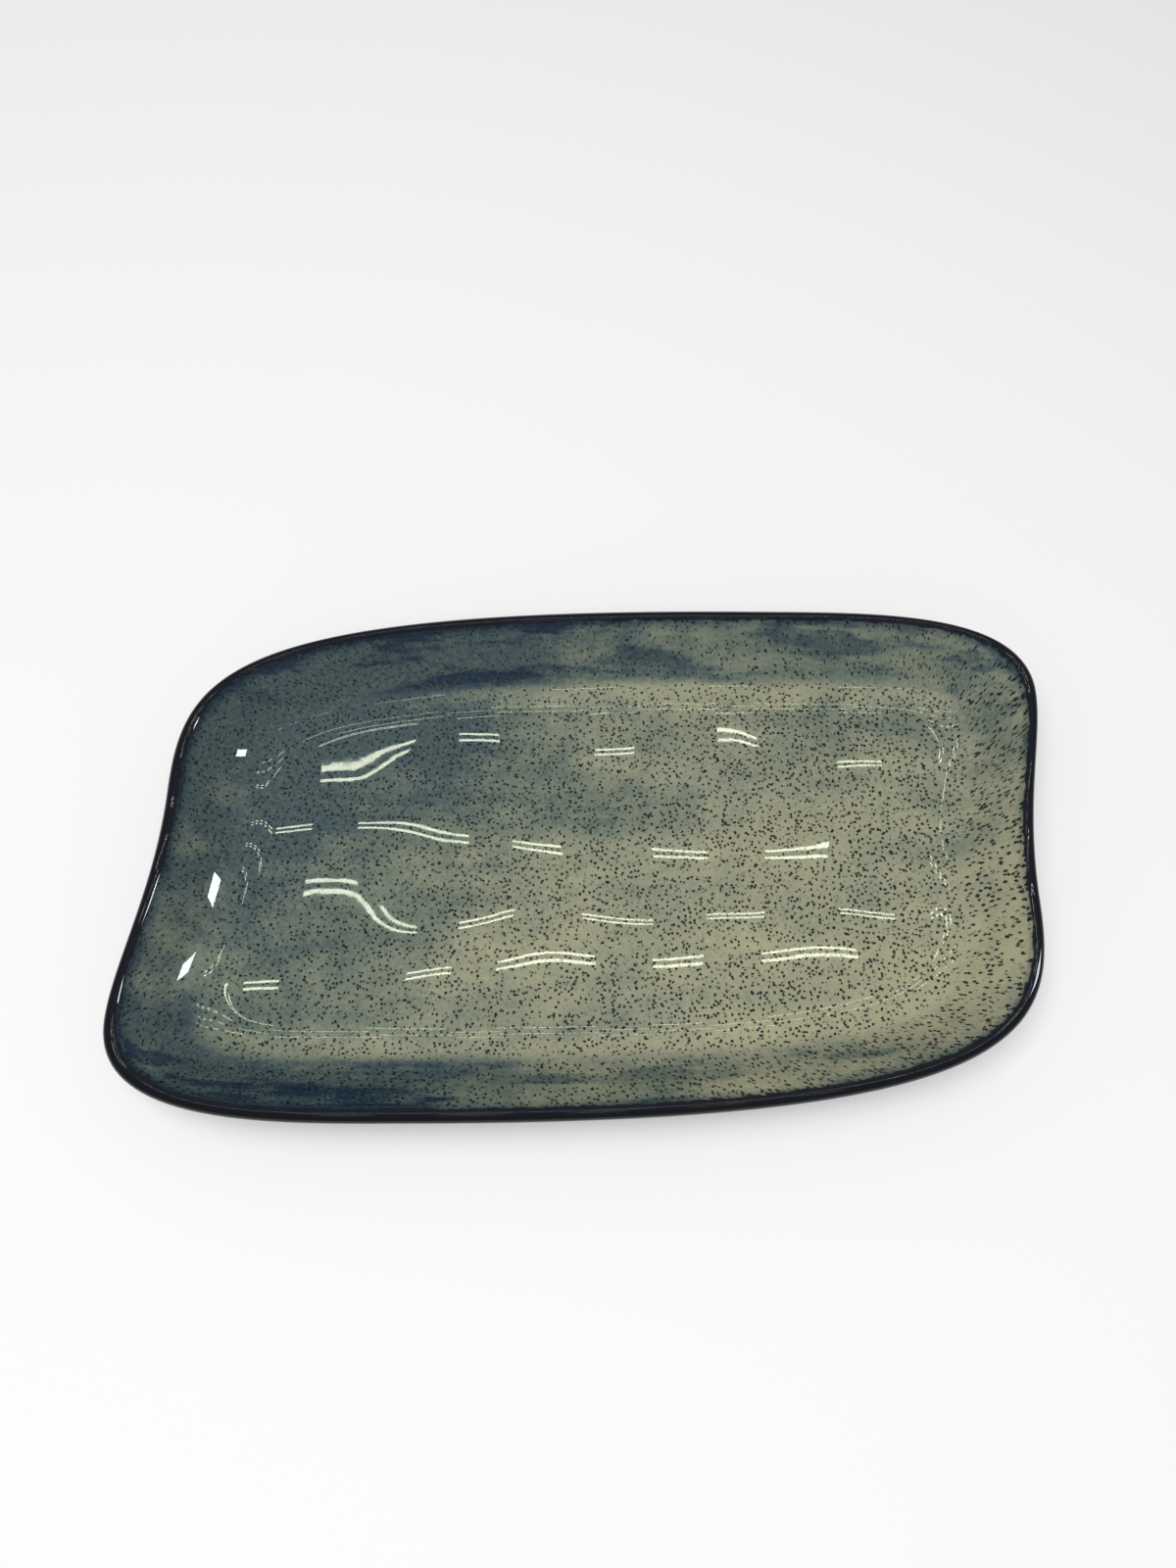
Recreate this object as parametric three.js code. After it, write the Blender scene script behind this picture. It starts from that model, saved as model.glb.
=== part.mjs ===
// Glazed stoneware serving platter: a soft, S-curved rectangle with a coved well and a rolled lip.
// One clay body stands on a bare foot ring, and four coats of glaze cover the rest of it.
// Millimetres, +Z up, origin on the table under the platter's middle, +X along its length.
import * as THREE from "three";

const LENGTH = 356; // over the bulges of the two ends
const WIDTH = 205; // over the crests of the two long sides

// Plans of the lip and of the floor. One half is drawn, and the other is that half turned about +Z.
const CREST_FROM_MIDDLE = 64; // the point of a long side that stands out most, along the length
const WAIST_DIP = 11.3; // how far an end draws in behind its bulge
const WAIST_FROM_AXIS = 21; // where it draws in most, from the long axis
const LIP_BULGE = 36; // the point of an end that stands out most, from the long side next to it
const FLOOR_BULGE = 28;
const FLOOR_INSET = 25.5; // where the wall would meet the floor with no cove, inside the lip's plan

// How far the curves keep to their tangents at those points, which sets how square each corner is.
const LIP_TIGHT_ON_END = 38; // from the bulge
const LIP_TIGHT_ON_SIDE = 64; // up to this far from the end
const LIP_BROAD_ON_END = 32; // up to this far from the long side
const FLOOR_TIGHT_ON_END = 33;
const FLOOR_TIGHT_ON_SIDE = 10;
const FLOOR_BROAD_ON_END = 16;
const BROAD_ON_SIDE = 11; // up to this far short of the waist
const WAIST_REACH = 40; // from the waist, towards the bulge
const BULGE_REACH = 20; // from the bulge, towards the waist

// Section through the wall, over the glaze.
const HEIGHT = 31; // table to the top of the lip
const WALL_THICKNESS = 5.2;
const LIP_SWELL = 0.3; // how far the rolled lip stands proud of each face of the wall
const LIP_FILLET = 4;
const COVE_RADIUS = 28; // between wall and floor
const FLOOR_HEIGHT = 9.2; // table to the floor of the well
const FLOOR_THICKNESS = 5.8;
const FOOT_BARE = 2.4; // height of the unglazed band on the outside of the foot
const FOOT_WIDTH = 6;
const FOOT_EDGE = 0.8; // bevel along both edges of the foot
const FOOT_FILLET = 2; // between the wall and the foot
const BASE_FILLET = 1.2; // between the foot and the underside
const GLAZE = 0.7; // thickness of every coat

// Facets: steps along each curve of the half plan, and along each round stretch of the section.
const TIGHT_CORNER_STEPS = 15;
const BROAD_CORNER_STEPS = 17;
const S_CURVE_STEPS = 8;
const COVE_STEPS = 4;
const LIP_FILLET_STEPS = 2;
const LIP_STEPS = 3; // inside its highest line, from there to its outermost line, and below that
const FOOT_FILLET_STEPS = 3;
const BASE_FILLET_STEPS = 3;

const halfLength = LENGTH / 2;
const halfWidth = WIDTH / 2;

// The half plan runs from one bulge over the crest and the waist to the other bulge.
function plan(inset, bulgeFromSide, tightOnEnd, tightOnSide, broadOnEnd) {
  const at = (x, y) => new THREE.Vector2(x, y);
  const end = halfLength - inset;
  const side = halfWidth - inset;
  const bulge = at(end, side - bulgeFromSide);
  const crest = at(CREST_FROM_MIDDLE, side);
  const waist = at(WAIST_DIP - end, WAIST_FROM_AXIS);
  const farBulge = at(-bulge.x, -bulge.y);
  const tightCorner = new THREE.CubicBezierCurve(
    bulge,
    at(end, bulge.y + tightOnEnd),
    at(end - tightOnSide, side),
    crest,
  );
  const broadCorner = new THREE.CubicBezierCurve(
    crest,
    at(waist.x + BROAD_ON_SIDE, side),
    at(waist.x, side - broadOnEnd),
    waist,
  );
  const sCurve = new THREE.CubicBezierCurve(
    waist,
    at(waist.x, waist.y - WAIST_REACH),
    at(-end, farBulge.y + BULGE_REACH),
    farBulge,
  );
  const half = [
    ...tightCorner.getPoints(TIGHT_CORNER_STEPS).slice(1),
    ...broadCorner.getPoints(BROAD_CORNER_STEPS).slice(1),
    ...sCurve.getPoints(S_CURVE_STEPS).slice(1),
  ];
  return [...half, ...half.map((p) => at(-p.x, -p.y))];
}

const lipPlan = plan(0, LIP_BULGE, LIP_TIGHT_ON_END, LIP_TIGHT_ON_SIDE, LIP_BROAD_ON_END);
const floorPlan = plan(
  FLOOR_INSET,
  FLOOR_BULGE,
  FLOOR_TIGHT_ON_END,
  FLOOR_TIGHT_ON_SIDE,
  FLOOR_BROAD_ON_END,
);

// The section is drawn with the inset from the lip's plan as x and the height as y. The lip is a round
// bead on the end of the wall, and the wall's upper face runs from it to the edge of the floor.
const halfWall = WALL_THICKNESS / 2;
const lipRadius = halfWall + LIP_SWELL;
const lipCentre = new THREE.Vector2(lipRadius, HEIGHT - lipRadius);
const toFloor = new THREE.Vector2(FLOOR_INSET, FLOOR_HEIGHT).sub(lipCentre);
const wallAngle = Math.atan2(-toFloor.y, toFloor.x) + Math.asin(halfWall / toFloor.length());

// The wall's own frame has one axis off its upper face and one up along it.
const offWall = new THREE.Vector2(Math.sin(wallAngle), Math.cos(wallAngle));
const upWall = new THREE.Vector2(-Math.cos(wallAngle), Math.sin(wallAngle));
const fromWallFrame = (origin, off, up) =>
  origin.clone().addScaledVector(offWall, off).addScaledVector(upWall, up);

// Points of an arc from one direction to another, as angles in the wall frame.
function arc(centre, radius, from, to, steps) {
  return Array.from({ length: steps + 1 }, (_, i) => {
    const angle = from + ((to - from) * i) / steps;
    return fromWallFrame(centre, radius * Math.cos(angle), radius * Math.sin(angle));
  });
}

// A fillet leads from the lip into each face of the wall.
const filletRun = Math.sqrt((lipRadius + LIP_FILLET) ** 2 - (halfWall + LIP_FILLET) ** 2);
const filletAngle = Math.atan2(filletRun, halfWall + LIP_FILLET);
const innerFilletCentre = fromWallFrame(lipCentre, halfWall + LIP_FILLET, -filletRun);
const outerFilletCentre = fromWallFrame(lipCentre, -halfWall - LIP_FILLET, -filletRun);

// The inset of a round's centre that lies a given distance off the wall's mid-plane, at a given height.
const insetBesideWall = (off, height) =>
  lipCentre.x + (off - (height - lipCentre.y) * offWall.y) / offWall.x;

const coveHeight = FLOOR_HEIGHT + COVE_RADIUS;
const coveCentre = new THREE.Vector2(insetBesideWall(halfWall + COVE_RADIUS, coveHeight), coveHeight);
const footFilletInset = insetBesideWall(-halfWall - FOOT_FILLET, FOOT_BARE);
const footFilletCentre = new THREE.Vector2(footFilletInset, FOOT_BARE);

// The foot is bare clay, so its flanks lie one coat of glaze inside the glazed faces that meet them.
const footOuter = footFilletInset + FOOT_FILLET + GLAZE;
const footInner = footOuter + FOOT_WIDTH;
const baseHeight = FLOOR_HEIGHT - FLOOR_THICKNESS;
const baseFilletHeight = baseHeight - BASE_FILLET;
const baseFilletInset = footInner + GLAZE + BASE_FILLET;
const baseFilletCentre = new THREE.Vector2(baseFilletInset, baseFilletHeight);

// The four stretches of the section at a depth below the glazed surface, from the floor over the lip to
// the underside. The face meets the rim along the lip's highest line, the rim meets the wall below the
// lip, and the bare foot lies between the last two.
function section(depth) {
  const { PI } = Math;
  const face = [
    ...arc(coveCentre, COVE_RADIUS + depth, PI + wallAngle, PI, COVE_STEPS),
    ...arc(innerFilletCentre, LIP_FILLET + depth, PI, PI - filletAngle, LIP_FILLET_STEPS),
    ...arc(lipCentre, lipRadius - depth, -filletAngle, wallAngle, LIP_STEPS).slice(1),
  ];
  const rim = [
    ...arc(lipCentre, lipRadius - depth, wallAngle, wallAngle + PI / 2, LIP_STEPS),
    ...arc(lipCentre, lipRadius - depth, wallAngle + PI / 2, PI + filletAngle, LIP_STEPS).slice(1),
    ...arc(outerFilletCentre, LIP_FILLET + depth, filletAngle, 0, LIP_FILLET_STEPS).slice(1),
  ];
  const wall = [
    rim.at(-1),
    ...arc(footFilletCentre, FOOT_FILLET + depth, 0, wallAngle - PI / 2, FOOT_FILLET_STEPS),
  ];
  const base = arc(baseFilletCentre, BASE_FILLET + depth, wallAngle + PI / 2, wallAngle, BASE_FILLET_STEPS);
  return { face, rim, wall, base };
}

const glazed = section(0);
const clay = section(GLAZE);
const foot = [
  new THREE.Vector2(footOuter, FOOT_EDGE),
  new THREE.Vector2(footOuter + FOOT_EDGE, 0),
  new THREE.Vector2(footInner - FOOT_EDGE, 0),
  new THREE.Vector2(footInner, FOOT_EDGE),
];

// Where a coat ends on the foot, surface tension draws its edge into a small roll.
const wallRoll = new THREE.Vector2(footOuter - GLAZE / 2, FOOT_BARE - GLAZE / 2);
const baseRoll = new THREE.Vector2(footInner + GLAZE / 2, baseFilletHeight - GLAZE / 2);

// The ring that a point of the section sweeps: between the plans of the lip and the floor, or past the
// floor's edge, a smaller copy of the floor's plan.
function ringAt({ x: inset, y: height }) {
  const share = Math.min(inset / FLOOR_INSET, 1);
  const past = Math.max(inset - FLOOR_INSET, 0);
  const alongX = 1 - past / (halfLength - FLOOR_INSET);
  const alongY = 1 - past / (halfWidth - FLOOR_INSET);
  return lipPlan.map((p, i) => {
    const q = p.clone().lerp(floorPlan[i], share);
    return new THREE.Vector3(q.x * alongX, q.y * alongY, height);
  });
}

// Skin between two rings. Each patch is cut along its shorter diagonal, so skins that touch are cut alike.
function band(from, to) {
  return from.flatMap((a, i) => {
    const next = (i + 1) % from.length;
    const b = from[next];
    const c = to[next];
    const d = to[i];
    const alongAC = a.distanceToSquared(c) < b.distanceToSquared(d);
    return alongAC ? [a, d, c, a, c, b] : [a, d, b, b, d, c];
  });
}

// Flat face across the platter inside a ring, seen from above.
function flatFace(ring) {
  const middle = new THREE.Vector3(0, 0, ring[0].z);
  return ring.flatMap((p, i) => [middle, p, ring[(i + 1) % ring.length]]);
}

function mesh(name, corners, material) {
  const geometry = new THREE.BufferGeometry().setFromPoints(corners);
  geometry.computeVertexNormals();
  const part = new THREE.Mesh(geometry, new THREE.MeshStandardMaterial(material));
  part.name = name;
  return part;
}

// A sheet across the whole platter: its section runs from the top face outwards and back to the lower face.
function sheet(name, points, material) {
  const rings = points.map(ringAt);
  const sides = rings.slice(1).flatMap((ring, i) => band(rings[i], ring));
  const top = flatFace(rings.at(0));
  const bottom = flatFace(rings.at(-1)).reverse();
  return mesh(name, [...top, ...sides, ...bottom], material);
}

// A hoop around the platter: its section runs over the outer skin and back along the inner one.
function hoop(name, points, material) {
  const rings = points.map(ringAt);
  const sides = rings.flatMap((ring, i) => band(ring, rings[(i + 1) % rings.length]));
  return mesh(name, sides, material);
}

const body = sheet(
  "stoneware_body",
  [...clay.face, ...clay.rim.slice(1), ...clay.wall.slice(1), ...foot, ...clay.base],
  { color: 0xb59b7a, roughness: 0.9, metalness: 0 },
);
const faceGlaze = sheet(
  "face_glaze",
  [...glazed.face, ...clay.face.toReversed()],
  { color: 0x85857a, roughness: 0.1, metalness: 0 },
);
const rimGlaze = hoop(
  "rim_glaze",
  [...glazed.rim, ...clay.rim.toReversed()],
  { color: 0x1d1a1c, roughness: 0.12, metalness: 0 },
);
const wallGlaze = hoop(
  "wall_glaze",
  [...glazed.wall, wallRoll, ...clay.wall.toReversed()],
  { color: 0x5b6664, roughness: 0.12, metalness: 0 },
);
const baseGlaze = sheet(
  "base_glaze",
  [...clay.base.toReversed(), baseRoll, ...glazed.base],
  { color: 0x5b6664, roughness: 0.15, metalness: 0 },
);

const platter = new THREE.Group();
platter.name = "platter";
platter.add(body, faceGlaze, rimGlaze, wallGlaze, baseGlaze);

export default platter;
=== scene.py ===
from bisect import bisect
from math import asin, atan2, cos, pi, radians, sin, sqrt

import bpy
from mathutils import Matrix, Vector
from mathutils.geometry import interpolate_bezier


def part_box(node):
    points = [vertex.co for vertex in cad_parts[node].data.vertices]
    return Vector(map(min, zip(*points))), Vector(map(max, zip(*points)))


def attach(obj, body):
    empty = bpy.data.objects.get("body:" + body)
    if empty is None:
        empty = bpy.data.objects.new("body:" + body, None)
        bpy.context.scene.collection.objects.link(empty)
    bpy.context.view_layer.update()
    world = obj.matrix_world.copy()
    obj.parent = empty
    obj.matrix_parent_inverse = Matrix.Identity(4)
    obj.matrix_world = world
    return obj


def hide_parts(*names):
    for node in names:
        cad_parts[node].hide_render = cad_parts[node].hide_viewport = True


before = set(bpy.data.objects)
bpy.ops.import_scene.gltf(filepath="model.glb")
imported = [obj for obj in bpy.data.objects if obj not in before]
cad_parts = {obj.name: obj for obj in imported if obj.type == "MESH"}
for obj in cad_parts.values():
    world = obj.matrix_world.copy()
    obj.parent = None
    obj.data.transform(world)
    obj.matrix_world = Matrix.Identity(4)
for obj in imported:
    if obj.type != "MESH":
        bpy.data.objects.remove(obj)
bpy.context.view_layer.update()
MM = 0.001

# Stoneware body: one slab of buff clay, pressed over a mould so that its wall rises from a coved floor to
# a rolled lip. Its foot ring was wiped bare before firing, so that the glaze couldn't stick to the shelf.
lip_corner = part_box("rim_glaze")[1]
half_length = lip_corner.x
half_width = lip_corner.y
lip_top = lip_corner.z
crest_from_middle = 64 * MM
waist_dip = 11.3 * MM
waist_from_axis = 21 * MM
waist_reach = 40 * MM
bulge_reach = 20 * MM
broad_on_side = 11 * MM
lip_plan_sizes = {
    "inset": 0,
    "bulge_from_side": 36 * MM,
    "tight_on_end": 38 * MM,
    "tight_on_side": 64 * MM,
    "broad_on_end": 32 * MM,
}
floor_inset = 25.5 * MM
floor_plan_sizes = {
    "inset": floor_inset,
    "bulge_from_side": 28 * MM,
    "tight_on_end": 33 * MM,
    "tight_on_side": 10 * MM,
    "broad_on_end": 16 * MM,
}
wall_thickness = 5.2 * MM
lip_swell = 0.3 * MM
lip_fillet = 4 * MM
cove_radius = 28 * MM
floor_height = 9.2 * MM
floor_thickness = 5.8 * MM
foot_bare = 2.4 * MM
foot_width = 6 * MM
foot_edge = 0.8 * MM
foot_fillet = 2 * MM
base_fillet = 1.2 * MM
glaze_depth = 0.7 * MM
plan_steps = 200
curve_steps = 2000
round_steps = 7
cove_steps = 14
wall_steps = 10
grid_span = 60
grid_turn = -60
sharp_from = radians(40)


def half_plan(inset, bulge_from_side, tight_on_end, tight_on_side, broad_on_end):
    """Half of a plan, from one end's bulge over the crest and the waist to the other end's bulge."""
    end = half_length - inset
    side = half_width - inset
    bulge = Vector((end, side - bulge_from_side, 0))
    crest = Vector((crest_from_middle, side, 0))
    waist = Vector((waist_dip - end, waist_from_axis, 0))
    tight_corner = interpolate_bezier(
        bulge,
        Vector((end, bulge.y + tight_on_end, 0)),
        Vector((end - tight_on_side, side, 0)),
        crest,
        curve_steps + 1,
    )
    broad_corner = interpolate_bezier(
        crest,
        Vector((waist.x + broad_on_side, side, 0)),
        Vector((waist.x, side - broad_on_end, 0)),
        waist,
        curve_steps + 1,
    )
    s_curve = interpolate_bezier(
        waist,
        Vector((waist.x, waist.y - waist_reach, 0)),
        Vector((-end, bulge_reach - bulge.y, 0)),
        -bulge,
        curve_steps + 1,
    )
    return tight_corner[1:] + broad_corner[1:] + s_curve[1:]


lip_curve = half_plan(**lip_plan_sizes)
floor_curve = half_plan(**floor_plan_sizes)
lengths = [0]
for before, after in zip(lip_curve, lip_curve[1:]):
    lengths.append(lengths[-1] + (after - before).length)
even = [bisect(lengths, lengths[-1] * (i + 1) / plan_steps) - 1 for i in range(plan_steps)]
lip_plan = [lip_curve[i] for i in even]
floor_plan = [floor_curve[i] for i in even]
ring_points = 2 * plan_steps


def ring(station):
    """The ring that a station of the section, its inset and its height, sweeps round the platter."""
    inset, height = station
    share = min(inset / floor_inset, 1)
    past = max(inset - floor_inset, 0)
    shrink = Vector((1 - past / (half_length - floor_inset), 1 - past / (half_width - floor_inset), 0))
    half = [lip.lerp(floor, share) * shrink for lip, floor in zip(lip_plan, floor_plan)]
    rise = Vector((0, 0, height))
    return [rise + point for point in half] + [rise - point for point in half]


# The section lies in a frame of the wall's own: off its upper face, and up along it.
half_wall = wall_thickness / 2
lip_radius = half_wall + lip_swell
lip_centre = Vector((lip_radius, lip_top - lip_radius))
to_floor = Vector((floor_inset, floor_height)) - lip_centre
wall_angle = atan2(-to_floor.y, to_floor.x) + asin(half_wall / to_floor.length)
off_wall = Vector((sin(wall_angle), cos(wall_angle)))
up_wall = Vector((-cos(wall_angle), sin(wall_angle)))


def arc(centre, radius, start, end, steps):
    """Stations along a round stretch of the section, with angles in the wall's frame."""
    angles = [start + (end - start) * i / steps for i in range(steps + 1)]
    return [centre + radius * (cos(a) * off_wall + sin(a) * up_wall) for a in angles]


def straight(start, end):
    """Stations between the two ends of a straight stretch of the section."""
    return [start.lerp(end, i / wall_steps) for i in range(1, wall_steps)]


def beside_wall(off, height):
    """The station at a given distance off the wall's mid-plane and at a given height."""
    return Vector((lip_centre.x + (off - (height - lip_centre.y) * off_wall.y) / off_wall.x, height))


fillet_run = sqrt((lip_radius + lip_fillet) ** 2 - (half_wall + lip_fillet) ** 2)
fillet_angle = atan2(fillet_run, half_wall + lip_fillet)
inner_fillet = lip_centre + (half_wall + lip_fillet) * off_wall - fillet_run * up_wall
outer_fillet = lip_centre - (half_wall + lip_fillet) * off_wall - fillet_run * up_wall
cove_centre = beside_wall(half_wall + cove_radius, floor_height + cove_radius)
foot_centre = beside_wall(-half_wall - foot_fillet, foot_bare)
foot_outer = foot_centre.x + foot_fillet + glaze_depth
foot_inner = foot_outer + foot_width
base_height = floor_height - floor_thickness
base_centre = Vector((foot_inner + glaze_depth + base_fillet, base_height - base_fillet))


def section(depth):
    """The stretches of the section at a depth below the glaze's face: the well up to the lip's highest line,
    the lip's outer side, the outer wall and the underside."""
    bead = lip_radius - depth
    hollow = lip_fillet + depth
    cove = arc(cove_centre, cove_radius + depth, pi + wall_angle, pi, cove_steps)
    brim = arc(inner_fillet, hollow, pi, pi - fillet_angle, round_steps)
    brim += arc(lip_centre, bead, -fillet_angle, wall_angle, round_steps)[1:]
    rim = arc(lip_centre, bead, wall_angle, wall_angle + pi / 2, round_steps)
    rim += arc(lip_centre, bead, wall_angle + pi / 2, pi + fillet_angle, round_steps)[1:]
    rim += arc(outer_fillet, hollow, fillet_angle, 0, round_steps)[1:]
    foot_round = arc(foot_centre, foot_fillet + depth, 0, wall_angle - pi / 2, round_steps)
    return {
        "well": cove + straight(cove[-1], brim[0]) + brim,
        "rim": rim,
        "wall": rim[-1:] + straight(rim[-1], foot_round[0]) + foot_round,
        "base": arc(base_centre, base_fillet + depth, wall_angle + pi / 2, wall_angle, round_steps),
    }


glazed = section(0)
clay = section(glaze_depth)
foot_outer_edge = Vector((foot_outer + foot_edge, foot_edge))
foot_inner_edge = Vector((foot_inner - foot_edge, foot_edge))
foot = arc(foot_outer_edge, foot_edge, wall_angle + pi / 2, wall_angle + pi, round_steps)
foot += arc(foot_inner_edge, foot_edge, wall_angle + pi, wall_angle + 3 * pi / 2, round_steps)


def sweep(name, stations):
    """A ring of edges round the platter, extruded from each station of a section to the next."""
    bpy.ops.object.select_all(action="DESELECT")
    bpy.ops.mesh.primitive_circle_add(vertices=ring_points, radius=half_length)
    piece = bpy.context.object
    piece.name = name
    piece.data.name = name
    bpy.ops.object.mode_set(mode="EDIT")
    bpy.ops.mesh.select_mode(type="VERT")
    for number, station in enumerate(stations):
        if number:
            bpy.ops.mesh.extrude_region_move()
        bpy.ops.object.mode_set(mode="OBJECT")
        for vertex, place in zip(piece.data.vertices[-ring_points:], ring(station)):
            vertex.co = place
        bpy.ops.object.mode_set(mode="EDIT")
    return piece


def select_first_ring(piece):
    """Adds the ring that a sweep began with to what is selected."""
    bpy.ops.object.mode_set(mode="OBJECT")
    for vertex in piece.data.vertices[:ring_points]:
        vertex.select = True
    bpy.ops.object.mode_set(mode="EDIT")


def smooth():
    """Turns the faces of the piece in hand outwards and shades them smooth, but for its sharp edges."""
    bpy.ops.mesh.select_all(action="SELECT")
    bpy.ops.mesh.normals_make_consistent(inside=False)
    bpy.ops.object.mode_set(mode="OBJECT")
    bpy.ops.object.shade_smooth_by_angle(angle=sharp_from)


def close_sheet(piece):
    """Closes a sheet across the platter with a grid of faces inside its last ring and inside its first."""
    bpy.ops.mesh.fill_grid(span=grid_span, offset=grid_turn)
    bpy.ops.mesh.select_all(action="DESELECT")
    select_first_ring(piece)
    bpy.ops.mesh.fill_grid(span=grid_span, offset=grid_turn)
    smooth()


def close_band(piece):
    """Closes a band round the platter by joining its last ring to its first."""
    select_first_ring(piece)
    bpy.ops.mesh.bridge_edge_loops()
    smooth()


body = sweep("clay_slab", clay["well"] + clay["rim"][1:] + clay["wall"][1:] + foot + clay["base"])
close_sheet(body)


def linear(hex_colour):
    """An sRGB hex colour as linear RGBA."""
    channels = [int(hex_colour[i:i + 2], 16) / 255 for i in (1, 3, 5)]
    return [c / 12.92 if c <= 0.04045 else ((c + 0.055) / 1.055) ** 2.4 for c in channels] + [1]


def add(material, kind, inputs, output=0, **settings):
    """Adds a node, sets its properties, sets or links its inputs, and returns one of its outputs."""
    tree = material.node_tree
    node = tree.nodes.new("ShaderNode" + kind)
    for name, value in settings.items():
        setattr(node, name, value)
    for name, value in inputs.items():
        if isinstance(value, bpy.types.NodeSocket):
            tree.links.new(value, node.inputs[name])
        else:
            node.inputs[name].default_value = value
    return node.outputs[output]


def finish(piece, name):
    """Gives a piece a new material, and returns it with its shader."""
    material = bpy.data.materials.new(name)
    material.use_nodes = True
    piece.data.materials.clear()
    piece.data.materials.append(material)
    return material, material.node_tree.nodes["Principled BSDF"]


# Bare stoneware, wiped with a sponge and fired: matt buff with darker patches from the kiln, small iron
# spots, and a fine sandy tooth.
clay_buff = "#b39a78"
clay_toasted = "#8f7253"
iron_spot = "#4a3626"
clay_roughness = 0.88
toast_patch = 14 * MM
iron_spacing = 2.6 * MM
iron_radius = 0.3 * MM
iron_core = 0.15 * MM
tooth_grain = 0.5 * MM
tooth_depth = 0.05 * MM
MIX_FACTOR, MIX_A, MIX_B, MIX_RESULT = 0, 6, 7, 2
stoneware, stoneware_shader = finish(body, "bare_stoneware")
place = add(stoneware, "TexCoord", {}, "Object")
toast = add(stoneware, "TexNoise", {"Vector": place, "Scale": 1 / toast_patch})
tone = add(
    stoneware,
    "Mix",
    {MIX_FACTOR: toast, MIX_A: linear(clay_buff), MIX_B: linear(clay_toasted)},
    MIX_RESULT,
    data_type="RGBA",
)
iron = add(stoneware, "TexVoronoi", {"Vector": place, "Scale": 1 / iron_spacing}, "Distance")
spots = add(
    stoneware,
    "MapRange",
    {"Value": iron, "From Min": iron_radius / iron_spacing, "From Max": iron_core / iron_spacing},
)
spotted = add(
    stoneware,
    "Mix",
    {MIX_FACTOR: spots, MIX_A: tone, MIX_B: linear(iron_spot)},
    MIX_RESULT,
    data_type="RGBA",
)
tooth = add(stoneware, "TexNoise", {"Vector": place, "Scale": 1 / tooth_grain, "Detail": 3})
grit = add(stoneware, "Bump", {"Height": tooth, "Distance": tooth_depth})
stoneware.node_tree.links.new(spotted, stoneware_shader.inputs["Base Color"])
stoneware.node_tree.links.new(grit, stoneware_shader.inputs["Normal"])
stoneware_shader.inputs["Roughness"].default_value = clay_roughness
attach(body, "root")
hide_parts("stoneware_body")

# Face glaze: the speckled coat poured into the well, up to the lip's highest line. It broke pale and thin
# over the cove, where the paleness is also a painted reflection of the ceiling, ran down the wall in short
# dashes, and pooled bluer towards one end.
well_stations = glazed["well"] + clay["well"][::-1]
face = sweep("well_glaze", well_stations)
close_sheet(face)


def mark_run(piece, stations, seam, from_lip=0):
    """Stores a place on a straight drum of the lip's girth for each point: round it, and down from the lip,
    which is some way from the station that is called the seam."""
    lip = ring((0, 0))
    turns = []
    girth = 0
    for i in range(ring_points):
        girth += (lip[i] - lip[i - 1]).length
        turns.append(girth)
    drum = girth / (2 * pi)
    runs = [0]
    for before, after in zip(stations, stations[1:]):
        runs.append(runs[-1] + (after - before).length)
    spots = [
        (drum * cos(turn / drum), drum * sin(turn / drum), from_lip + abs(run - runs[seam]))
        for run in runs
        for turn in turns
    ]
    spots += [(0, 0, from_lip + runs[-1])] * (len(piece.data.vertices) - len(spots))
    attribute = piece.data.attributes.new("glaze_run", "FLOAT_VECTOR", "POINT")
    attribute.data.foreach_set("vector", [number for spot in spots for number in spot])


mark_run(face, well_stations, len(glazed["well"]) - 1)

# The pressed floor isn't quite flat, and low waves in it bend what the glaze reflects. The coat's lower
# face keeps to the clay, and the waves die out up the wall.
press_wave = 52 * MM
press_depth = 1.1 * MM
waves = bpy.data.textures.new("press_waves", "CLOUDS")
waves.noise_scale = press_wave
waves.noise_depth = 0
waves.noise_basis = "IMPROVED_PERLIN"
wavy = face.vertex_groups.new(name="wavy")
seam_height = glazed["well"][-1].y
for vertex in face.data.vertices:
    in_clay = len(glazed["well"]) * ring_points <= vertex.index < len(well_stations) * ring_points
    if not in_clay and vertex.co.z > floor_height - glaze_depth / 2:
        share = (seam_height - vertex.co.z) / (seam_height - floor_height)
        wavy.add([vertex.index], min(1, share), "REPLACE")
press = face.modifiers.new("press", "DISPLACE")
press.texture = waves
press.texture_coords = "LOCAL"
press.direction = "Z"
press.mid_level = 0.5
press.strength = press_depth
press.vertex_group = "wavy"
bpy.ops.object.modifier_apply(modifier="press")

# Speckled reactive glaze, poured and fired to a melt: deep gloss, khaki where it lies thin and blue-grey
# where it pooled, with dark iron specks that stretch into dashes where the coat ran down a wall. It takes
# its colour from how blue it is, from beige at 0 to navy at 1.
glaze_tones = {0: "#adab8b", 0.25: "#989981", 0.5: "#757f6f", 0.75: "#48595b", 1: "#192e40"}
speck_ink = "#10191c"
lip_navy = "#070d1a"
most_blue = 0.76
streak_blue = 0.17
cloud_blue = 0.12
mottle_blue = 0.08
noise_low = 0.3
noise_high = 0.7
pool_edge = 0.5
pool_middle = 0.62
streak_length = 70 * MM
streak_width = 20 * MM
cloud_size = 16 * MM
mottle_size = 1.5 * MM
pool_length = 45 * MM
pool_width = 9 * MM
speck_spacing = 1.75 * MM
speck_radius = 0.58 * MM
dash_spacing = 1.8 * MM
dash_radius = 0.58 * MM
dash_stretch = 1.7
speck_blur = 0.16 * MM
finer_at_blue_end = 0.07 * MM
coarser_at_pale_end = 0.035 * MM
coarser_at_lip = 0.175 * MM
finer_on_far_wall = 0.175 * MM
ragged_size = 0.8 * MM
ragged_depth = 1.5 * MM
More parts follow.
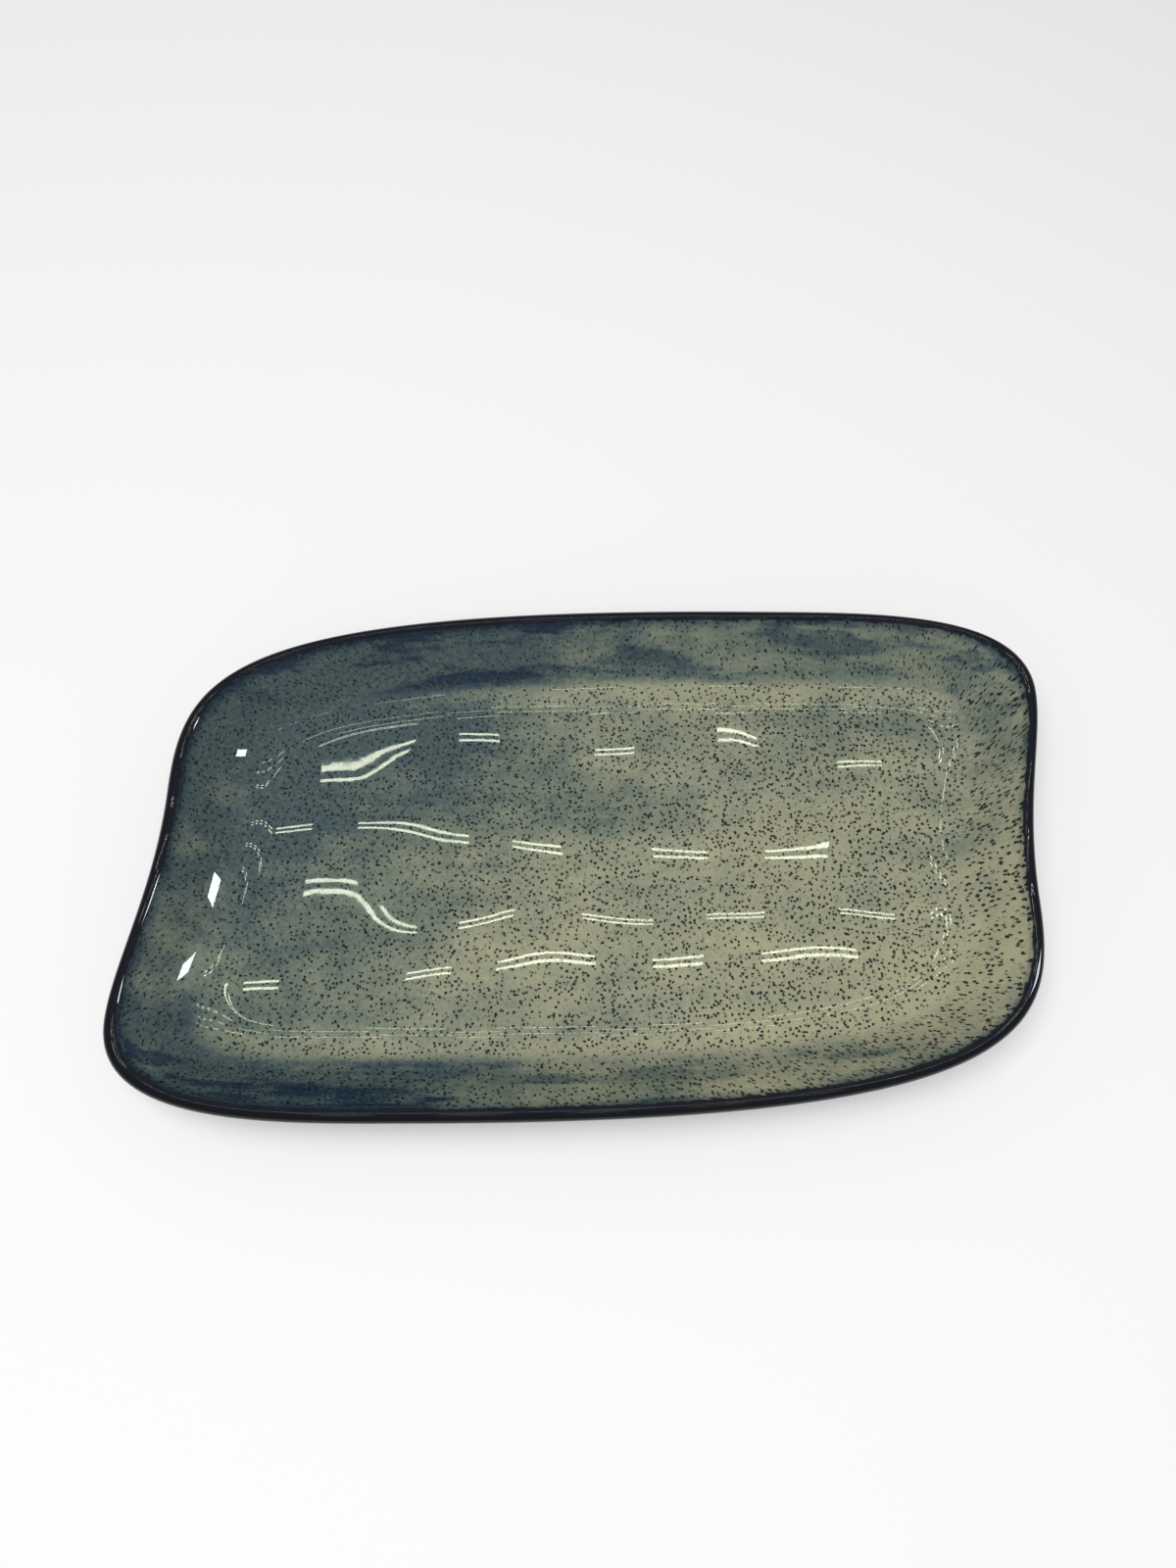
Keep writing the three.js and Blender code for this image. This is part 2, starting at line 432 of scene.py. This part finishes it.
pale_end = 60 * MM
blue_end = -140 * MM
near_floor = -40 * MM
far_floor = 60 * MM
side_start = half_width / 2
side_end = half_width * 0.8
wall_run = 25 * MM
floor_run = 32 * MM
cove_run = 35 * MM
cove_band = 8 * MM
drift = 9 * MM
haze_run = 8 * MM
bleed_size = 4 * MM
bleed_depth = 2.6 * MM
bleed_edge = 1.56 * MM
bleed_core = 0.39 * MM
ripple_size = 5 * MM
ripple_depth = 0.0015 * MM
clearest = 0.005
dullest = 0.02


def speckled_glaze(piece, name, blue, at_end, at_far, on_sides, cove_thinning_and_sheen, at_lip):
    """The speckled glaze: how blue it is on the pale end's floor, and what is added to that at the other end,
    at the far side, on the long sides' walls, along their coves and beside the lip."""
    glaze, shader = finish(piece, name)
    place = add(glaze, "TexCoord", {}, "Object")
    length = add(glaze, "SeparateXYZ", {"Vector": place}, "X")
    width = add(glaze, "SeparateXYZ", {"Vector": place}, "Y")
    run = add(glaze, "Attribute", {}, "Vector", attribute_name="glaze_run")
    down = add(glaze, "SeparateXYZ", {"Vector": run}, "Z")

    # Patches: streaks along the platter, clouds and a fine mottle in them, and thin pools on the walls.
    along = add(glaze, "Mapping", {"Vector": place, "Scale": (streak_width / streak_length, 1, 1)})
    flow = add(glaze, "Mapping", {"Vector": place, "Scale": (pool_width / pool_length, 1, 1)})
    streaks = add(glaze, "TexNoise", {"Vector": along, "Scale": 1 / streak_width, "Detail": 4})
    pools = add(glaze, "TexNoise", {"Vector": flow, "Scale": 1 / pool_width, "Detail": 3})
    cloudy = {"Vector": place, "Scale": 1 / cloud_size, "Detail": 6, "Roughness": 0.65}
    clouds = add(glaze, "TexNoise", cloudy)
    mottle = add(glaze, "TexNoise", {"Vector": place, "Scale": 1 / mottle_size, "Detail": 2})

    # Where: down the wall, whose lower edge drifts with the clouds, off the middle line and off the cove.
    lowered = add(glaze, "Math", {0: down, 1: drift / 2}, operation="SUBTRACT")
    drifting = add(glaze, "Math", {0: clouds, 1: drift, 2: lowered}, operation="MULTIPLY_ADD")
    past_cove = add(glaze, "Math", {0: drifting, 1: cove_run}, operation="SUBTRACT")
    off_cove = add(glaze, "Math", {0: past_cove}, operation="ABSOLUTE")
    off_middle = add(glaze, "Math", {0: width}, operation="ABSOLUTE")

    # Each span is a measure, where it starts and ends, and the amounts that it smoothly goes from and to.
    spans = {
        "wall": (drifting, floor_run, wall_run, 0, 1),
        "side": (off_middle, side_start, side_end, 0, 1),
        # Paler along the long sides' coves: partly glaze that broke thin, partly a painted reflection of the
        # ceiling.
        "cove": (off_cove, cove_band, 0, 0, cove_thinning_and_sheen),
        "end": (length, pale_end, blue_end, blue, blue + at_end),
        "far": (width, near_floor, far_floor, 0, at_far),
        "pool": (pools, pool_edge, pool_middle, 0, 1 - most_blue),
        "lip": (down, haze_run, 0, 0, at_lip),
        "dull": (clouds, noise_low, noise_high, clearest, dullest),
        "coarse_lip": (down, haze_run, 0, 0, coarser_at_lip),
        "fine_far": (width, far_floor, half_width, 0, -finer_on_far_wall),
    }
    shares = {}
    for kind, span in spans.items():
        shares[kind] = add(glaze, "MapRange", dict(enumerate(span)), interpolation_type="SMOOTHSTEP")
    steady_spans = {
        "streaks": (streaks, noise_low, noise_high, -streak_blue, streak_blue),
        "clouds": (clouds, noise_low, noise_high, -cloud_blue, cloud_blue),
        "mottle": (mottle, noise_low, noise_high, -mottle_blue, mottle_blue),
        "squeeze": (length, -half_length, half_length, 1, 1 / dash_stretch),
        "coarse_end": (length, -half_length, half_length, -finer_at_blue_end, coarser_at_pale_end),
    }
    for kind, span in steady_spans.items():
        shares[kind] = add(glaze, "MapRange", dict(enumerate(span)))

    # How blue: the floor and the walls up to a limit, and then the mottle, the pools and the haze by the lip.
    side_wall = add(glaze, "Math", {0: shares["side"], 1: shares["wall"]}, operation="MULTIPLY")
    # Along the long sides' coves the glaze is made paler: partly thin glaze, partly a painted reflection of
    # the ceiling.
    thin_cove_and_sheen = add(glaze, "Math", {0: shares["side"], 1: shares["cove"]}, operation="MULTIPLY")
    wall_pool = add(glaze, "Math", {0: side_wall, 1: shares["pool"]}, operation="MULTIPLY")
    how_blue = add(glaze, "Math", {0: side_wall, 1: on_sides, 2: thin_cove_and_sheen}, operation="MULTIPLY_ADD")
    for kind in ("end", "far", "streaks", "clouds"):
        how_blue = add(glaze, "Math", {0: how_blue, 1: shares[kind]}, operation="ADD")
    how_blue = add(glaze, "Math", {0: how_blue, 1: most_blue}, operation="MINIMUM")
    for more in (shares["mottle"], wall_pool, shares["lip"]):
        how_blue = add(glaze, "Math", {0: how_blue, 1: more}, operation="ADD")
    tones = add(glaze, "ValToRGB", {"Fac": how_blue})
    ramp = tones.node.color_ramp
    while len(ramp.elements) < len(glaze_tones):
        ramp.elements.new(1)
    for element, (position, tone) in zip(ramp.elements, glaze_tones.items()):
        element.position = position
        element.color = linear(tone)

    # Specks: ragged dots on the floor, and on the wall dashes that lie down it, longer at the pale end. They
    # are coarser at that end and beside the lip, and finer on the far wall.
    ragged = add(glaze, "TexNoise", {"Vector": place, "Scale": 1 / ragged_size}, "Color")
    shift = add(
        glaze,
        "VectorMath",
        {0: ragged, 1: (ragged_depth,) * 3, 2: (-ragged_depth / 2,) * 3},
        operation="MULTIPLY_ADD",
    )
    squeezed = add(glaze, "CombineXYZ", {"X": 1, "Y": 1, "Z": shares["squeeze"]})
    dashed = add(glaze, "VectorMath", {0: run, 1: squeezed}, operation="MULTIPLY")
    depths = []
    for spot, spacing, on_floor, on_wall in (
        (place, speck_spacing, speck_radius, -speck_blur),
        (dashed, dash_spacing, -speck_blur, dash_radius),
    ):
        sizes = {"Value": shares["wall"], "To Min": on_floor, "To Max": on_wall}
        radius = add(glaze, "MapRange", sizes, interpolation_type="SMOOTHSTEP")
        ragged_spot = add(glaze, "VectorMath", {0: spot, 1: shift}, operation="ADD")
        cells = add(glaze, "TexVoronoi", {"Vector": ragged_spot, "Scale": 1 / spacing}, "Distance")
        depths.append(add(glaze, "Math", {0: cells, 1: -spacing, 2: radius}, operation="MULTIPLY_ADD"))
    inside = add(glaze, "Math", dict(enumerate(depths)), operation="MAXIMUM")
    for kind in ("coarse_end", "coarse_lip", "fine_far"):
        inside = add(glaze, "Math", {0: inside, 1: shares[kind]}, operation="ADD")
    blurred = {"Value": inside, "From Min": -speck_blur, "From Max": speck_blur}
    specks = add(glaze, "MapRange", blurred, interpolation_type="SMOOTHSTEP")
    specked = add(
        glaze,
        "Mix",
        {MIX_FACTOR: specks, MIX_A: tones, MIX_B: linear(speck_ink)},
        MIX_RESULT,
        data_type="RGBA",
    )

    # The lip's dark glaze bleeds a little way into this one.
    bleed = add(glaze, "TexNoise", {"Vector": place, "Scale": 1 / bleed_size, "Detail": 3})
    bleeding = add(glaze, "Math", {0: bleed, 1: -bleed_depth, 2: down}, operation="MULTIPLY_ADD")
    bled = {"Value": bleeding, "From Min": bleed_edge, "From Max": bleed_core}
    inked = add(glaze, "MapRange", bled, interpolation_type="SMOOTHSTEP")
    colour = add(
        glaze,
        "Mix",
        {MIX_FACTOR: inked, MIX_A: specked, MIX_B: linear(lip_navy)},
        MIX_RESULT,
        data_type="RGBA",
    )

    # The melt is a mirror with a low ripple, a little duller in patches.
    ripple = add(glaze, "TexNoise", {"Vector": place, "Scale": 1 / ripple_size, "Detail": 1})
    rippled = add(glaze, "Bump", {"Height": ripple, "Distance": ripple_depth})
    glaze.node_tree.links.new(colour, shader.inputs["Base Color"])
    glaze.node_tree.links.new(shares["dull"], shader.inputs["Roughness"])
    glaze.node_tree.links.new(rippled, shader.inputs["Normal"])


speckled_glaze(
    face,
    "speckled_well_glaze",
    blue=0.1,
    at_end=0.53,
    at_far=0.26,
    on_sides=0.19,
    # paler along the coves: partly thin glaze, partly a painted reflection of the ceiling
    cove_thinning_and_sheen=-0.2,
    at_lip=0.3,
)
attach(face, "root")
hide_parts("face_glaze")

# Rim glaze: the dark iron glaze that the lip was dipped in, on the outer side of the bead of clay that was
# rolled along the wall's edge. It has run a little way down the outer wall.
rim_stations = glazed["rim"] + clay["rim"][::-1]
rim = sweep("lip_glaze", rim_stations)
close_band(rim)
mark_run(rim, rim_stations, 0)

# Dark iron glaze, dipped and fired: black-brown, and navy along its inner edge and at the pale end, with a
# mirror gloss that low ripples break up.
rim_brown = "#0e0a08"
rim_black = "#040507"
rim_roughness = 0.04
rim_ior = 1.4
rim_cloud = 30 * MM
navy_run = 2.5 * MM
navy_at_pale_end = 0.9
rim_ripple = 7 * MM
rim_ripple_depth = 0.02 * MM
iron_glaze, iron_shader = finish(rim, "dark_iron_glaze")
place = add(iron_glaze, "TexCoord", {}, "Object")
length = add(iron_glaze, "SeparateXYZ", {"Vector": place}, "X")
run = add(iron_glaze, "Attribute", {}, "Vector", attribute_name="glaze_run")
down = add(iron_glaze, "SeparateXYZ", {"Vector": run}, "Z")
pooling = add(iron_glaze, "TexNoise", {"Vector": place, "Scale": 1 / rim_cloud, "Detail": 3})
bead = add(
    iron_glaze,
    "Mix",
    {MIX_FACTOR: pooling, MIX_A: linear(rim_brown), MIX_B: linear(rim_black)},
    MIX_RESULT,
    data_type="RGBA",
)
at_edge = add(iron_glaze, "MapRange", {"Value": down, "From Min": navy_run, "From Max": 0})
pale = {"Value": length, "From Max": half_length, "To Max": navy_at_pale_end}
at_pale_end = add(iron_glaze, "MapRange", pale)
how_navy = add(iron_glaze, "Math", {0: at_edge, 1: at_pale_end}, operation="MAXIMUM")
ink = add(
    iron_glaze,
    "Mix",
    {MIX_FACTOR: how_navy, MIX_A: bead, MIX_B: linear(lip_navy)},
    MIX_RESULT,
    data_type="RGBA",
)
ripple = add(iron_glaze, "TexNoise", {"Vector": place, "Scale": 1 / rim_ripple, "Detail": 1})
rippled = add(iron_glaze, "Bump", {"Height": ripple, "Distance": rim_ripple_depth})
iron_glaze.node_tree.links.new(ink, iron_shader.inputs["Base Color"])
iron_glaze.node_tree.links.new(rippled, iron_shader.inputs["Normal"])
iron_shader.inputs["Roughness"].default_value = rim_roughness
iron_shader.inputs["IOR"].default_value = rim_ior
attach(rim, "root")
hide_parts("rim_glaze")


# Wall glaze: the same speckled coat on the outer wall, where it was sprayed on and ran down to a small
# rolled edge above the foot.
def roll(start, end):
    """Stations round the rolled edge that a coat ends in, below the line from one face of it to the other."""
    middle = (start + end) / 2
    radius = (end - start).length / 2
    turn = 1 if end.x > start.x else -1
    angles = [pi * i / round_steps for i in range(1, round_steps)]
    return [middle + radius * Vector((-turn * cos(a), -sin(a))) for a in angles]


wall_stations = glazed["wall"] + roll(glazed["wall"][-1], clay["wall"][-1]) + clay["wall"][::-1]
wall = sweep("wall_glaze_coat", wall_stations)
close_band(wall)
mark_run(wall, wall_stations, 0)
speckled_glaze(
    wall,
    "speckled_wall_glaze",
    blue=0.5,
    at_end=0.15,
    at_far=0,
    on_sides=0.1,
    cove_thinning_and_sheen=0,
    at_lip=0.4,
)
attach(wall, "root")
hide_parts("wall_glaze")

# Base glaze: the same speckled coat on the underside, inside the foot ring. It was sprayed on too, and ends
# in a small rolled edge beside the foot.
base_stations = clay["base"][::-1] + roll(clay["base"][0], glazed["base"][0]) + glazed["base"]
base = sweep("base_glaze_coat", base_stations)
close_sheet(base)
mark_run(base, base_stations, 0, from_lip=half_width)
speckled_glaze(
    base,
    "speckled_base_glaze",
    blue=0.45,
    at_end=0.15,
    at_far=0,
    on_sides=0,
    cove_thinning_and_sheen=0,
    at_lip=0,
)
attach(base, "root")
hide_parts("base_glaze")

# Floor: a plain sheet of matt white paper, so wide that its far edge fades into the room. It lies just
# under the foot.
floor_width = 40
floor_drop = 0.2 * MM
floor_paper = "#ffffff"
bpy.ops.object.select_all(action="DESELECT")
bpy.ops.mesh.primitive_plane_add(size=floor_width, location=(0, 0, -floor_drop))
paper = bpy.context.object
paper.name = "pale_floor"
paper_material, paper_shader = finish(paper, "matt_paper")
paper_shader.inputs["Base Color"].default_value = linear(floor_paper)
paper_shader.inputs["Roughness"].default_value = 1

# Lamps: a large soft panel overhead lights the platter. A small window and thin twin tubes on the ceiling
# only show in what the glaze mirrors.
room_white = "#ffffff"
room_glow = 0.3
scene = bpy.context.scene
scene.view_settings.view_transform = "Standard"
scene.world = bpy.data.worlds.new("studio_room")
scene.world.use_nodes = True
room = scene.world.node_tree.nodes["Background"]
room.inputs["Color"].default_value = linear(room_white)
room.inputs["Strength"].default_value = room_glow


def lamp(name, place, aim, size, watts, colour):
    """An area lamp that looks at a point."""
    turn = (Vector(aim) - Vector(place)).to_track_quat("-Z", "Y")
    bpy.ops.object.light_add(type="AREA", location=place, rotation=turn.to_euler())
    made = bpy.context.object
    made.name = name
    made.data.shape = "RECTANGLE"
    made.data.size, made.data.size_y = size
    made.data.energy = watts
    made.data.color = linear(colour)[:3]
    return made


panel_place = (-0.2, -0.3, 1.8)
panel_aim = (0, 0, 0)
panel_size = (1.6, 1.2)
panel_watts = 27
panel_white = "#ffffff"
panel = lamp("soft_panel", panel_place, panel_aim, panel_size, panel_watts, panel_white)
panel.visible_glossy = False
window_place = (0.89, 0.05, 0.78)
window_aim = (-0.16, -0.04, 0.01)
window_size = (0.12, 0.3)
window_watts = 3
window_white = "#eaf2ff"
window = lamp("window", window_place, window_aim, window_size, window_watts, window_white)
window.visible_diffuse = False
ceiling = 2.2
tube_length = 0.15
tube_width = 0.007
tube_gap = 0.02
tube_glow = 55
tube_watts = tube_glow * tube_length * tube_width
tube_white = "#f6ffe4"
tube_spacing = 0.3
tube_rows = {-0.7: 0.1, 0.42: -0.05, 0.6: 0.1, 0.78: -0.05, 0.98: 0.1}
for back, middle in tube_rows.items():
    for column in range(-2, 3):
        for twin in (-1, 1):
            place = Vector((middle + column * tube_spacing, back + twin * tube_gap / 2, ceiling))
            below = place - Vector((0, 0, ceiling))
            tube = lamp("tube", place, below, (tube_length, tube_width), tube_watts, tube_white)
            tube.visible_diffuse = False

# Camera: above the near side, looking down into the well as the photograph does.
lens_pixels = 1200
image_height = 1600
sensor_width = 36
elevation = radians(68.25)
azimuth = radians(3.602)
roll_angle = radians(-3.595)
distance = 489.37 * MM
aim = Vector((-3.63, 36.6, 0)) * MM
ahead = Vector((sin(azimuth) * cos(elevation), cos(azimuth) * cos(elevation), -sin(elevation)))
right = Vector((cos(azimuth), -sin(azimuth), 0))
up = right.cross(ahead)
bpy.ops.object.camera_add()
camera = bpy.context.object
tilted_right = cos(roll_angle) * right - sin(roll_angle) * up
tilted_up = sin(roll_angle) * right + cos(roll_angle) * up
turn = Matrix((tilted_right, tilted_up, -ahead)).transposed().to_4x4()
camera.matrix_world = Matrix.Translation(aim - distance * ahead) @ turn
camera.data.sensor_width = sensor_width
camera.data.lens = sensor_width * lens_pixels / image_height
scene.camera = camera
